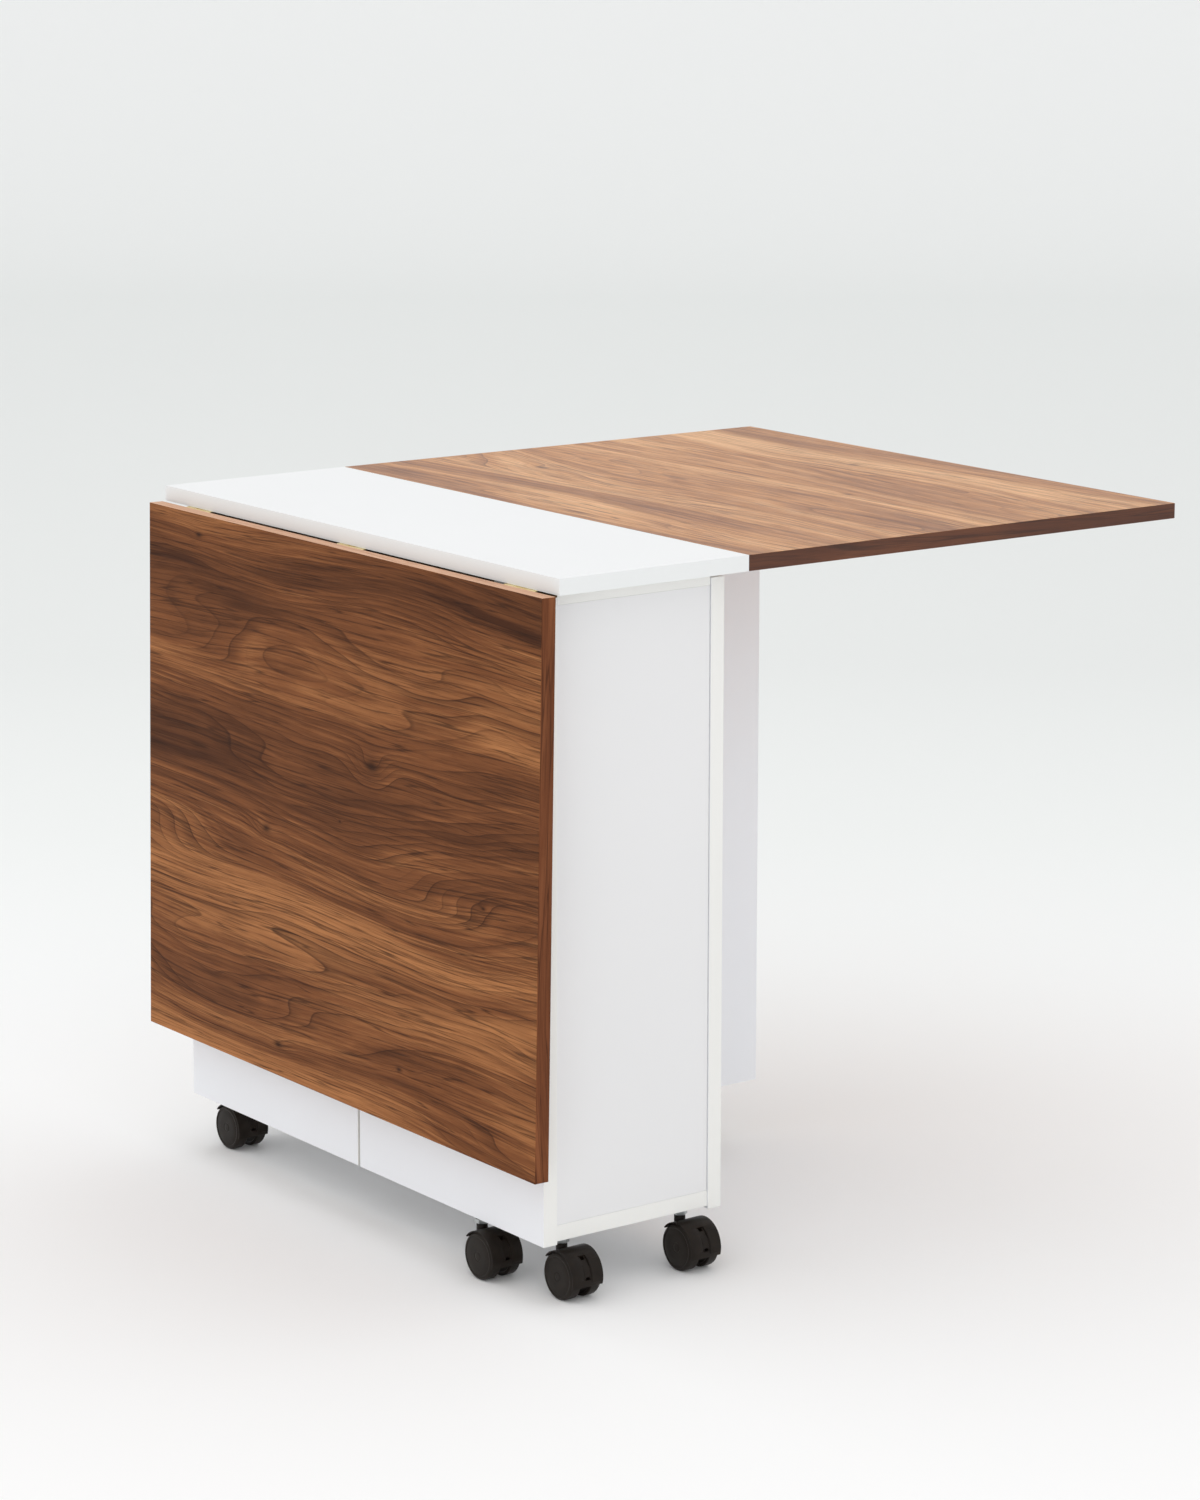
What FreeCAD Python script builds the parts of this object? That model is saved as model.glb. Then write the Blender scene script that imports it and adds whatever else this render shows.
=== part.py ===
import FreeCAD, Part
import os
import Sketcher

# Drop-leaf service table on casters: a narrow boxed trolley with a folding leaf on each long side.
# Each leaf rests on a gate, a door panel that swings out from the box and rolls on its own caster.
# Here the rear leaf is up on its open gate, and the front leaf hangs beside its closed gate.
# X runs along the table, Y from the hanging leaf to the raised one, Z up from the floor.

doc = FreeCAD.newDocument("service_table")
sheet = doc.addObject("Spreadsheet::Sheet", "sizes")

SIZES = {
    # Boards
    "table_length": 750,      # along X, top and leaves
    "table_depth": 240,       # along Y, the fixed top alone
    "table_height": 760,      # floor to the upper face of the top
    "board": 17,              # thickness of every laminated board
    "leaf_reach": 600,        # hinge edge to free edge of a leaf
    "end_overhang": 34,       # top beyond the ends of the door panels
    "side_overhang": 5,       # top beyond the outer faces of the door panels
    "centre_gap": 3.5,        # between the two panels of one side
    "door_bottom": 60,        # floor to the lower edges of panels and gates
    "door_top_gap": 9,        # upper edges of panels and gates to the top's underside
    "end_reveal": 1.5,        # box ends set back from the ends of the panels
    "bottom_rise": 3,         # underside of the bottom board above the panels' lower edges
    "edge_gap": 0.5,          # end panel edge to the back of the door panels
    "gate_relief": 1,         # box boards stand back this far from a gate
    "divider_setback": 4,     # middle divider stands back from the pivot notches
    # Gates
    "pivot_inset": 8.5,       # gate's hinge end to its pivot axis
    "corner_cut": 1,          # chamfer on the two hinge corners of a gate
    "notch_length": 20,       # pivot notch in the box boards, along X
    "notch_depth": 4,         # pivot notch behind the panels' back face
    "rear_gate_open": 90,     # degrees that the rear gate stands open
    "pivot_pin": 6,           # diameter of the gate pivot pins
    "pin_in_gate": 25,        # depth of a pivot pin in the gate's edge
    "pin_in_top": 10,         # depth of the upper pin in the top
    "pin_end_gap": 0.5,       # beyond the upper pin's end in its hole
    "running_gap": 0.05,      # radial clearance of a pin, shaft or stem that turns
    "bracket_plate": 2,       # thickness of the lower pivot bracket
    "bracket_width": 24,      # along X
    "bracket_foot": 30,       # screwed flange under the bottom board, along Y
    "bracket_gap": 0.5,       # gate's lower edge to the bracket
    "bracket_setback": 4,     # bracket's tip behind the gate's outer face
    "glide_setback": 80,      # free end of a gate to the middle of its nylon glide
    "glide_length": 20,
    "glide_width": 11,
    "contact_gap": 0.05,      # left between surfaces that only lean on each other
    # Leaves and their hinges
    "hang_tilt": 0.9,         # degrees that the hanging leaf leans outward
    "leaf_droop": 0.25,       # degrees that the raised leaf falls below level
    "pivot_out": 2.1,         # hinge axis beyond the top's long edge
    "pivot_drop": 2.1,        # hinge axis below the boards' undersides
    "joint_gap": 0.5,         # between the top and a raised leaf
    "hinge_spacing": 305,     # middle hinge to an outer hinge
    "hinge_shift": 5,         # all three hinges of a leaf, from the table's middle
    "hinge_length": 50,
    "hinge_plate": 1,         # thickness of the brass
    "hinge_plate_width": 10,
    "knuckle_radius": 1.9,
    "knuckle_gap": 0.2,
    "pin_radius": 1,
    "block_from_hinge": 296,  # hinge edge of the leaf to the stop block
    "block_length": 30,
    "block_width": 29.5,
    "block_gap": 0.3,         # stop block to the side of the open gate
    # Casters
    "caster_inset_x": 21,     # end of the door panels to the swivel axis
    "caster_inset_y": 38,     # outer face of the door panels to the swivel axis
    "gate_caster_radius": 209.5,
    "trail": 19,              # swivel axis to wheel axle
    "wheel_radius": 25,
    "wheel_width": 13,
    "tread_span": 39,         # over both wheels
    "axle_radius": 3,
    "axle_seat": 10,          # length of axle pressed into each wheel
    "hood_radius": 27,
    "hood_wall": 1.3,
    "hood_front": -17,        # degrees at the axle where the hood starts, from level
    "hood_sweep": 157,        # degrees that the hood runs over the wheels
    "web_gap": 0.3,           # web of the housing to each wheel
    "hub_radius": 7,
    "neck_radius": 6,
    "neck_bottom": 31,
    "neck_top": 53.7,
    "stem_radius": 4,
    "stem_bottom": 35,
    "stem_in_socket": 12,
    "collar_bottom": 54,
    "collar_top": 58.5,
    "collar_flats": 14,       # across the flats of the zinc hexagon
    "socket_radius": 5.5,
    "socket_depth": 14,       # in the board
    "socket_flange_radius": 7.5,
    "brake_start": 6,         # degrees at the axle, lower end of the brake rocker
    "brake_sweep": 41,
    "brake_width": 8,
    "brake_depth": 5,         # radial thickness of the rocker
    "brake_play": 0.4,        # each side of the rocker to its slot
    "brake_low_gap": 7,       # degrees of open slot below the rocker
    "brake_high_gap": 10,     # degrees of open slot above it
    "brake_travel": 2.2,      # slot floor below the rocker
}


def fill_sheet():
    for row, (name, value) in enumerate(SIZES.items(), start=1):
        sheet.set(f"A{row}", name)
        sheet.set(f"B{row}", str(value))
        sheet.setAlias(f"B{row}", name)
    doc.recompute()


def number(expression):
    """The value in mm or degrees of an expression on the sheet."""
    return float(sheet.evalExpression(expression))


fill_sheet()

# Places that follow from the sizes, measured from the middle of the top in X and Y.
DOOR_END = "(sizes.table_length / 2 - sizes.end_overhang)"
DOOR_FACE = "(sizes.table_depth / 2 - sizes.side_overhang)"
DOOR_BACK = f"({DOOR_FACE} - sizes.board)"
HALF_GAP = "(sizes.centre_gap / 2)"
DOOR_LENGTH = f"({DOOR_END} - {HALF_GAP})"
BOX_END = f"({DOOR_END} - sizes.end_reveal)"
TOP_UNDERSIDE = "(sizes.table_height - sizes.board)"
DOOR_TOP = f"({TOP_UNDERSIDE} - sizes.door_top_gap)"
DOOR_HEIGHT = f"({DOOR_TOP} - sizes.door_bottom)"
BOX_BOTTOM = "(sizes.door_bottom + sizes.bottom_rise)"
BOX_FLOOR = f"({BOX_BOTTOM} + sizes.board)"
BOX_CEILING = f"({TOP_UNDERSIDE} - sizes.board)"
PIVOT_X = f"({HALF_GAP} + sizes.pivot_inset)"
PIVOT_Y = f"({DOOR_FACE} - sizes.board / 2)"
HINGE_IN_LEAF = "(sizes.pivot_out - sizes.joint_gap)"
HINGE_Y = "(sizes.table_depth / 2 + sizes.pivot_out)"
HINGE_Z = f"({TOP_UNDERSIDE} - sizes.pivot_drop)"
LEAF_ARM = f"(sizes.leaf_reach - {HINGE_IN_LEAF})"
LEAF_RISE = "(sizes.board + sizes.pivot_drop)"
REAR_REACH = (f"({HINGE_Y} + {LEAF_ARM} * cos(sizes.leaf_droop)"
              f" + {LEAF_RISE} * sin(sizes.leaf_droop))")
FRONT_REACH = (f"({HINGE_Y} + {LEAF_ARM} * sin(sizes.hang_tilt)"
               f" + {LEAF_RISE} * cos(sizes.hang_tilt))")

# The frame's origin is on the floor, under the middle of the whole table as it stands.
MIDDLE_Y = f"(({FRONT_REACH} - {REAR_REACH}) / 2)"

nodes = []


def keep(part, label):
    """Names a finished piece, so that it is checked and written under that name."""
    part.Label = label
    nodes.append(part)
    return part


def place(part, x, y, z, axis=(0, 0, 1), angle="0", about=("0", "0", "0")):
    """Puts the point "about" of a piece at x, y, z, with the piece turned there about an axis."""
    part.Placement = FreeCAD.Placement(FreeCAD.Vector(), FreeCAD.Rotation(FreeCAD.Vector(axis), 1))
    ax, ay, az = about
    if axis == (1, 0, 0):
        shift = (ax, f"{ay} * cos({angle}) - {az} * sin({angle})",
                 f"{ay} * sin({angle}) + {az} * cos({angle})")
    else:
        shift = (f"{ax} * cos({angle}) - {ay} * sin({angle})",
                 f"{ax} * sin({angle}) + {ay} * cos({angle})", az)
    part.setExpression(".Placement.Base.x", f"{x} - ({shift[0]})")
    part.setExpression(".Placement.Base.y", f"{y} - ({shift[1]})")
    part.setExpression(".Placement.Base.z", f"{z} - ({shift[2]})")
    part.setExpression(".Placement.Rotation.Angle", f"({angle}) * 1 deg")


def on_table(part, x, y, z):
    """Places a piece of the fixed box, measured from the middle of the top."""
    place(part, x, f"{MIDDLE_Y} + {y}", z)


def on_leaf(part, side):
    """Places a piece drawn in the frame of a leaf: X along it, Y out from its hinge edge."""
    if side == "front":
        hinge_y = f"({MIDDLE_Y} - {HINGE_Y})"
        angle = "(-90 - sizes.hang_tilt)"
        hinge_in_leaf = ("0", HINGE_IN_LEAF, LEAF_RISE)
    else:
        hinge_y = f"({MIDDLE_Y} + {HINGE_Y})"
        angle = "(-sizes.leaf_droop)"
        hinge_in_leaf = ("0", HINGE_IN_LEAF, "(-sizes.pivot_drop)")
    place(part, "-sizes.table_length / 2", hinge_y, HINGE_Z, (1, 0, 0), angle, hinge_in_leaf)


def on_gate(part, side, z="0"):
    """Places a piece drawn in the frame of a gate: X along it from its hinge end, Y through it."""
    pivot_in_gate = ("sizes.pivot_inset", "(sizes.board / 2)", "0")
    if side == "front":
        place(part, PIVOT_X, f"({MIDDLE_Y} - {PIVOT_Y})", z, about=pivot_in_gate)
    else:
        angle = "(180 - sizes.rear_gate_open)"
        place(part, f"(-{PIVOT_X})", f"({MIDDLE_Y} + {PIVOT_Y})", z, angle=angle,
              about=pivot_in_gate)


def origin_plane(body, role):
    return next(plane for plane in body.Origin.OriginFeatures if plane.Role == role)


def new_sketch(body, name, height="0"):
    """A level sketch in a body, at a height above the body's own origin."""
    sketch = body.newObject("Sketcher::SketchObject", name)
    sketch.AttachmentSupport = [(origin_plane(body, "XY_Plane"), "")]
    sketch.MapMode = "FlatFace"
    sketch.setExpression(".AttachmentOffset.Base.z", height)
    return sketch


def pin_point(sketch, geometry, point, x, y):
    """Ties one point of a sketch to its place from the sketch's origin."""
    for kind, value, axis in (("DistanceX", x, -2), ("DistanceY", y, -1)):
        if value == "0":
            sketch.addConstraint(Sketcher.Constraint("PointOnObject", geometry, point, axis))
        else:
            constraint = Sketcher.Constraint(kind, -1, 1, geometry, point, number(value))
            index = sketch.addConstraint(constraint)
            sketch.setExpression(f"Constraints[{index}]", value)


def draw_polygon(sketch, corners):
    points = [FreeCAD.Vector(number(x), number(y), 0) for x, y in corners]
    count = len(points)
    for index in range(count):
        sketch.addGeometry(Part.LineSegment(points[index], points[(index + 1) % count]))
    for index in range(count):
        joined = Sketcher.Constraint("Coincident", index, 2, (index + 1) % count, 1)
        sketch.addConstraint(joined)
    for index, (x, y) in enumerate(corners):
        pin_point(sketch, index, 1, x, y)


def panel(label, corners, height):
    """A board as a body: its outline seen from above, raised to its height."""
    body = doc.addObject("PartDesign::Body", label)
    sketch = new_sketch(body, f"{label}_outline")
    draw_polygon(sketch, corners)
    pad = body.newObject("PartDesign::Pad", f"{label}_board")
    pad.Profile = sketch
    pad.setExpression("Length", height)
    doc.recompute()
    return keep(body, label)


def rectangle(length, width):
    return [("0", "0"), (length, "0"), (length, width), ("0", width)]


def bore(body, name, centres, diameter, depth, height="0", upward=True):
    """Drills round holes into a board from below, or from a given height downward."""
    solid_before = body.Tip.Shape.Volume
    sketch = new_sketch(body, f"{body.Label}_{name}_sketch", height)
    for index, (x, y) in enumerate(centres):
        middle = FreeCAD.Vector(number(x), number(y), 0)
        sketch.addGeometry(Part.Circle(middle, FreeCAD.Vector(0, 0, 1), number(diameter) / 2))
        pin_point(sketch, index, 3, x, y)
        size = sketch.addConstraint(Sketcher.Constraint("Diameter", index, number(diameter)))
        sketch.setExpression(f"Constraints[{size}]", diameter)
    pocket = body.newObject("PartDesign::Pocket", f"{body.Label}_{name}")
    pocket.Profile = sketch
    pocket.setExpression("Length", depth)
    pocket.Reversed = upward
    doc.recompute()
    if not pocket.Shape.Volume < solid_before:
        raise RuntimeError(f"{pocket.Name} cuts nothing")


# Top: one board, with a blind hole under it for the upper pivot pin of each gate.
PIVOT_HOLE = "(sizes.pivot_pin + 2 * sizes.running_gap)"


def table_top():
    top = panel("table_top", rectangle("sizes.table_length", "sizes.table_depth"), "sizes.board")
    middle_x = "sizes.table_length / 2"
    middle_y = "sizes.table_depth / 2"
    pivots = [(f"{middle_x} + {PIVOT_X}", f"{middle_y} - {PIVOT_Y}"),
              (f"{middle_x} - {PIVOT_X}", f"{middle_y} + {PIVOT_Y}")]
    bore(top, "pivot_holes", pivots, PIVOT_HOLE, "sizes.pin_in_top + sizes.pin_end_gap")
    on_table(top, "-sizes.table_length / 2", "-sizes.table_depth / 2", TOP_UNDERSIDE)


# Upper and lower boards of the box. Beside a gate they stand back by the relief, with a deeper
# notch where the hinge end of the gate turns. The other half of each side meets a fixed panel.
SOCKET_HOLE = "(2 * sizes.socket_radius)"


def box_board(label, z):
    length = f"(2 * {BOX_END})"
    depth = f"(2 * {DOOR_BACK})"
    step = f"({BOX_END} + {HALF_GAP})"
    notch_end = f"({step} + sizes.notch_length)"
    front = [("0", "0"), (step, "0"), (step, "sizes.notch_depth"), (notch_end, "sizes.notch_depth"),
             (notch_end, "sizes.gate_relief"), (length, "sizes.gate_relief")]
    rear = [(f"{length} - {x}", f"{depth} - {y}") for x, y in front]
    rear[0] = (length, depth)
    rear[-1] = ("0", f"{depth} - sizes.gate_relief")
    board = panel(label, front + rear, "sizes.board")
    on_table(board, f"-{BOX_END}", f"-{DOOR_BACK}", z)
    return board


def caster_spots():
    """Swivel axes of the four casters under the box, from the middle of the top."""
    x = f"({DOOR_END} - sizes.caster_inset_x)"
    y = f"({DOOR_FACE} - sizes.caster_inset_y)"
    return {"front_left": (f"(-{x})", f"(-{y})"), "front_right": (x, f"(-{y})"),
            "rear_left": (f"(-{x})", y), "rear_right": (x, y)}


def box():
    box_board("top_board", BOX_CEILING)
    bottom = box_board("bottom_board", BOX_BOTTOM)
    spots = [(f"{BOX_END} + {x}", f"{DOOR_BACK} + {y}") for x, y in caster_spots().values()]
    bore(bottom, "socket_holes", spots, SOCKET_HOLE, "sizes.socket_depth")
    height = f"({BOX_CEILING} - {BOX_FLOOR})"
    end_y = f"({DOOR_BACK} - sizes.edge_gap)"
    for label, x in (("end_panel_left", f"-{BOX_END}"),
                     ("end_panel_right", f"{BOX_END} - sizes.board")):
        end = panel(label, rectangle("sizes.board", f"2 * {end_y}"), height)
        on_table(end, x, f"-{end_y}", BOX_FLOOR)
    divider_y = f"({DOOR_BACK} - sizes.notch_depth - sizes.divider_setback)"
    divider = panel("centre_divider", rectangle("sizes.board", f"2 * {divider_y}"), height)
    on_table(divider, "-sizes.board / 2", f"-{divider_y}", BOX_FLOOR)


# Fixed panels: front left and rear right, the same size as the gates beside them.
def fixed_panels():
    for label, x, y in (("fixed_panel_front", f"-{DOOR_END}", f"-{DOOR_FACE}"),
                        ("fixed_panel_rear", HALF_GAP, DOOR_BACK)):
        fixed = panel(label, rectangle(DOOR_LENGTH, "sizes.board"), DOOR_HEIGHT)
        on_table(fixed, x, y, "sizes.door_bottom")


# Gates: a door panel turning on a pin at each end of its hinge edge, with its own caster.
def gate(side):
    cut = "sizes.corner_cut"
    corners = [("0", cut), (cut, "0"), (DOOR_LENGTH, "0"), (DOOR_LENGTH, "sizes.board"),
               (cut, "sizes.board"), ("0", f"sizes.board - {cut}")]
    door = panel(f"{side}_gate", corners, DOOR_HEIGHT)
    pivot = [("sizes.pivot_inset", "sizes.board / 2")]
    caster = [("sizes.pivot_inset + sizes.gate_caster_radius", "sizes.board / 2")]
    bore(door, "lower_pin_hole", pivot, "sizes.pivot_pin", "sizes.pin_in_gate")
    bore(door, "upper_pin_hole", pivot, "sizes.pivot_pin", "sizes.pin_in_gate",
         height=DOOR_HEIGHT, upward=False)
    bore(door, "socket_hole", caster, SOCKET_HOLE, "sizes.socket_depth")
    on_gate(door, side, "sizes.door_bottom")
    gate_pins(side)
    gate_glide(side)


def cylinder(name, radius, height, x="0", y="0", z="0"):
    round_bar = doc.addObject("Part::Cylinder", name)
    round_bar.setExpression("Radius", radius)
    round_bar.setExpression("Height", height)
    round_bar.setExpression(".Placement.Base.x", x)
    round_bar.setExpression(".Placement.Base.y", y)
    round_bar.setExpression(".Placement.Base.z", z)
    return round_bar


def crosswise(name, radius, half_width, x, z, centre_y="0"):
    """A cylinder with its axis along Y, half a width each side of its middle."""
    bar = cylinder(name, radius, f"2 * ({half_width})", x, f"({centre_y}) + ({half_width})", z)
    bar.Placement.Rotation = FreeCAD.Rotation(FreeCAD.Vector(1, 0, 0), 90)
    return bar


def combine(kind, name, parts):
    """Joins, cuts or groups pieces: Part::MultiFuse, Part::Cut or Part::Compound."""
    result = doc.addObject(kind, name)
    if kind == "Part::Cut":
        result.Base, result.Tool = parts
    elif kind == "Part::Compound":
        result.Links = parts
    else:
        result.Shapes = parts
        result.Refine = True
    doc.recompute()
    return result


def gate_pins(side):
    """Steel pins pressed in the ends of the hinge edge, one into the top, one into the bracket."""
    radius = "sizes.pivot_pin / 2"
    at = {"x": "sizes.pivot_inset", "y": "sizes.board / 2"}
    upper = cylinder(f"{side}_upper_pin", radius,
                     "sizes.pin_in_gate + sizes.door_top_gap + sizes.pin_in_top",
                     z=f"{DOOR_TOP} - sizes.pin_in_gate", **at)
    lower = cylinder(f"{side}_lower_pin", radius,
                     "sizes.pin_in_gate + sizes.bracket_gap + sizes.bracket_plate",
                     z="sizes.door_bottom - sizes.bracket_gap - sizes.bracket_plate", **at)
    pins = combine("Part::Compound", f"{side}_gate_pivot_pins", [upper, lower])
    on_gate(pins, side)
    keep(pins, f"{side}_gate_pivot_pins")


def gate_glide(side):
    """Nylon pad on the gate's upper edge, just under the leaf where the gate carries it."""
    glide = doc.addObject("Part::Box", f"{side}_glide_blank")
    middle = f"({DOOR_LENGTH} - sizes.glide_setback)"
    far_end = (f"({PIVOT_Y} + {middle} - sizes.pivot_inset + sizes.glide_length / 2"
               f" - {HINGE_Y})")
    leaf_fall = f"({far_end} * sin(sizes.leaf_droop))"
    glide.setExpression("Length", "sizes.glide_length")
    glide.setExpression("Width", "sizes.glide_width")
    glide.setExpression("Height", f"sizes.door_top_gap - {leaf_fall} - sizes.contact_gap")
    pad = combine("Part::Compound", f"{side}_gate_glide", [glide])
    glide.setExpression(".Placement.Base.x", f"{middle} - sizes.glide_length / 2")
    glide.setExpression(".Placement.Base.y", "(sizes.board - sizes.glide_width) / 2")
    on_gate(pad, side, DOOR_TOP)
    keep(pad, f"{side}_gate_glide")


# Cranked steel bracket: screwed under the bottom board, its tip under the gate takes the pin.
def pivot_brackets():
    plate = number("sizes.bracket_plate")
    low = number("sizes.door_bottom - sizes.bracket_gap - sizes.bracket_plate")
    high = number(BOX_BOTTOM)
    tip = number(f"{DOOR_FACE} - sizes.bracket_setback")
    crank = number(f"{DOOR_BACK} - sizes.notch_depth")
    heel = crank - number("sizes.bracket_foot")
    start = number(f"{PIVOT_X} - sizes.bracket_width / 2")
    outline = [(tip, low), (crank - plate, low), (crank - plate, high - plate),
               (heel, high - plate), (heel, high), (crank, high), (crank, low + plate),
               (tip, low + plate)]
    points = [FreeCAD.Vector(start, -y, z) for y, z in outline]
    profile = Part.Face(Part.makePolygon(points + points[:1]))
    bracket = profile.extrude(FreeCAD.Vector(number("sizes.bracket_width"), 0, 0))
    pin_axis = FreeCAD.Vector(number(PIVOT_X), -number(PIVOT_Y), low)
    bracket = bracket.cut(Part.makeCylinder(number(PIVOT_HOLE) / 2, plate, pin_axis))
    other = bracket.copy()
    other.rotate(FreeCAD.Vector(), FreeCAD.Vector(0, 0, 1), 180)
    pair = doc.addObject("Part::Feature", "gate_pivot_brackets")
    pair.Shape = Part.makeCompound([bracket, other])
    on_table(pair, "0", "0", "0")
    keep(pair, "gate_pivot_brackets")


# Leaves: plain boards, each with a wooden stop block on its underside. The block of the raised
# leaf stops the open gate, and the block of the hanging leaf holds it off the fixed panel.
def leaf(side):
    plank = panel(f"{side}_leaf", rectangle("sizes.table_length", "sizes.leaf_reach"),
                  "sizes.board")
    on_leaf(plank, side)
    arm = f"(sizes.block_from_hinge - {HINGE_IN_LEAF})"
    thick = (f"sizes.pivot_drop + (sizes.pivot_out + sizes.side_overhang - sizes.contact_gap"
             f" + {arm} * sin(sizes.hang_tilt)) / cos(sizes.hang_tilt)")
    gate_side = f"(-{PIVOT_X} + sizes.board / 2 + sizes.block_gap)"
    block = doc.addObject("Part::Box", f"{side}_block_blank")
    block.setExpression("Length", "sizes.block_width")
    block.setExpression("Width", "sizes.block_length")
    block.setExpression("Height", thick)
    block.setExpression(".Placement.Base.y", "sizes.block_from_hinge")
    middle = "sizes.table_length / 2"
    if side == "front":
        block.setExpression(".Placement.Base.x", f"{middle} - {gate_side} - sizes.block_width")
        block.setExpression(".Placement.Base.z", "sizes.board")
    else:
        block.setExpression(".Placement.Base.x", f"{middle} + {gate_side}")
        block.setExpression(".Placement.Base.z", f"-({thick})")
    seated = combine("Part::Compound", f"{side}_leaf_stop_block", [block])
    on_leaf(seated, side)
    keep(seated, f"{side}_leaf_stop_block")


# Brass butt hinges, three to a leaf: two plates of thin brass whose edges are rolled into
# knuckles round one pin. The table's plate has the outer knuckles, the leaf's the middle one.
def hinge_positions(side):
    """Middles of three hinges along X: shifted right on the front leaf, left on the rear one."""
    spacing = number("sizes.hinge_spacing")
    shift = number("sizes.hinge_shift") * (1 if side == "front" else -1)
    return [shift - spacing, shift, shift + spacing]


def hinge_plate(spans, bore_radius):
    """One plate about the pin axis: X along the pin, Y away from it, Z up to the board."""
    plate = number("sizes.hinge_plate")
    board_face = number("sizes.pivot_drop")
    knuckle = number("sizes.knuckle_radius")
    length = number("sizes.hinge_length")
    clear = knuckle + 2 * number("sizes.knuckle_gap")
    width = number("sizes.hinge_plate_width")
    along = FreeCAD.Vector(1, 0, 0)
    strip = Part.makeBox(length, width, plate,
                         FreeCAD.Vector(-length / 2, clear, board_face - plate))
    pieces = []
    for start, end in spans:
        corner = FreeCAD.Vector(start, 0, knuckle - plate)
        pieces.append(Part.makeBox(end - start, clear + plate, plate, corner))
        pieces.append(Part.makeCylinder(knuckle, end - start, FreeCAD.Vector(start, 0, 0), along))
    solid = strip.fuse(pieces)
    hole = Part.makeCylinder(bore_radius, length, FreeCAD.Vector(-length / 2, 0, 0), along)
    return solid.cut(hole).removeSplitter()


def hinges():
    pin = number("sizes.pin_radius")
    half = number("sizes.hinge_length") / 2
    third = number("sizes.hinge_length") / 3 - half
    gap = number("sizes.knuckle_gap")
    outer = hinge_plate([(-half, third - gap / 2), (-third + gap / 2, half)], pin)
    middle = hinge_plate([(third + gap / 2, -third - gap / 2)],
                         pin + number("sizes.running_gap"))
    up = FreeCAD.Vector(0, 0, 1)
    table_plates = []
    pins = []
    for side, sign in (("front", -1), ("rear", 1)):
        for x in hinge_positions(side):
            axis = FreeCAD.Vector(x, sign * number(HINGE_Y), number(HINGE_Z))
            plate = outer.copy()
            plate.rotate(FreeCAD.Vector(), up, 90 + sign * 90)
            plate.translate(axis)
            table_plates.append(plate)
            pins.append(Part.makeCylinder(pin, 2 * half, axis - FreeCAD.Vector(half, 0, 0),
                                          FreeCAD.Vector(1, 0, 0)))
    for label, shapes in (("hinge_top_plates", table_plates), ("hinge_pins", pins)):
        group = doc.addObject("Part::Feature", label)
        group.Shape = Part.makeCompound(shapes)
        on_table(group, "0", "0", "0")
        keep(group, label)
    for side in ("front", "rear"):
        leaf_plates = []
        for x in hinge_positions(side):
            plate = middle.copy()
            if side == "front":
                plate.rotate(FreeCAD.Vector(), FreeCAD.Vector(0, 1, 0), 180)
            height = number(LEAF_RISE) if side == "front" else -number("sizes.pivot_drop")
            plate.translate(FreeCAD.Vector(x + number("sizes.table_length / 2"),
                                           number(HINGE_IN_LEAF), height))
            leaf_plates.append(plate)
        group = doc.addObject("Part::Feature", f"{side}_hinge_leaf_plates")
        group.Shape = Part.makeCompound(leaf_plates)
        on_leaf(group, side)
        keep(group, f"{side}_hinge_leaf_plates")


# Casters: a threaded stem with a hexagon collar stands in a flanged socket, and the hooded
# housing swivels on the stem's lower end. Two wheels share one steel axle behind the swivel.
def gate_caster_spot(side):
    if side == "front":
        return (f"({PIVOT_X} + sizes.gate_caster_radius)", f"(-{PIVOT_Y})")
    angle = "(180 - sizes.rear_gate_open)"
    return (f"(-{PIVOT_X} + sizes.gate_caster_radius * cos({angle}))",
            f"({PIVOT_Y} + sizes.gate_caster_radius * sin({angle}))")


def stems_and_sockets(label, spots, mount):
    """The zinc stems and plastic sockets that one board carries, each kind as one group."""
    mount = number(mount)
    bottom = number("sizes.collar_bottom")
    top = number("sizes.collar_top")
    stem = number("sizes.stem_radius")
    corner = number("sizes.collar_flats") / 3 ** 0.5
    hexagon = [FreeCAD.Vector(corner, 0, bottom)]
    for turn in range(6):
        hexagon.append(FreeCAD.Rotation(FreeCAD.Vector(0, 0, 1), 60).multVec(hexagon[turn]))
    collar = Part.Face(Part.makePolygon(hexagon)).extrude(FreeCAD.Vector(0, 0, top - bottom))
    low = number("sizes.stem_bottom")
    shank = Part.makeCylinder(stem, top + number("sizes.stem_in_socket") - low,
                              FreeCAD.Vector(0, 0, low))
    stem_shape = collar.fuse(shank)
    flange = Part.makeCylinder(number("sizes.socket_flange_radius"), mount - top,
                               FreeCAD.Vector(0, 0, top))
    barrel = Part.makeCylinder(number("sizes.socket_radius"), number("sizes.socket_depth"),
                               FreeCAD.Vector(0, 0, mount))
    hole = Part.makeCylinder(stem, number("sizes.stem_in_socket"), FreeCAD.Vector(0, 0, top))
    socket_shape = flange.fuse(barrel).cut(hole)
    for kind, shape in (("caster_stems", stem_shape), ("caster_sockets", socket_shape)):
        copies = []
        for x, y in spots:
            copy = shape.copy()
            copy.translate(FreeCAD.Vector(number(x), number(y), 0))
            copies.append(copy)
        group = doc.addObject("Part::Feature", f"{label}_{kind}")
        group.Shape = Part.makeCompound(copies)
        on_table(group, "0", "0", "0")
        keep(group, f"{label}_{kind}")


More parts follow.
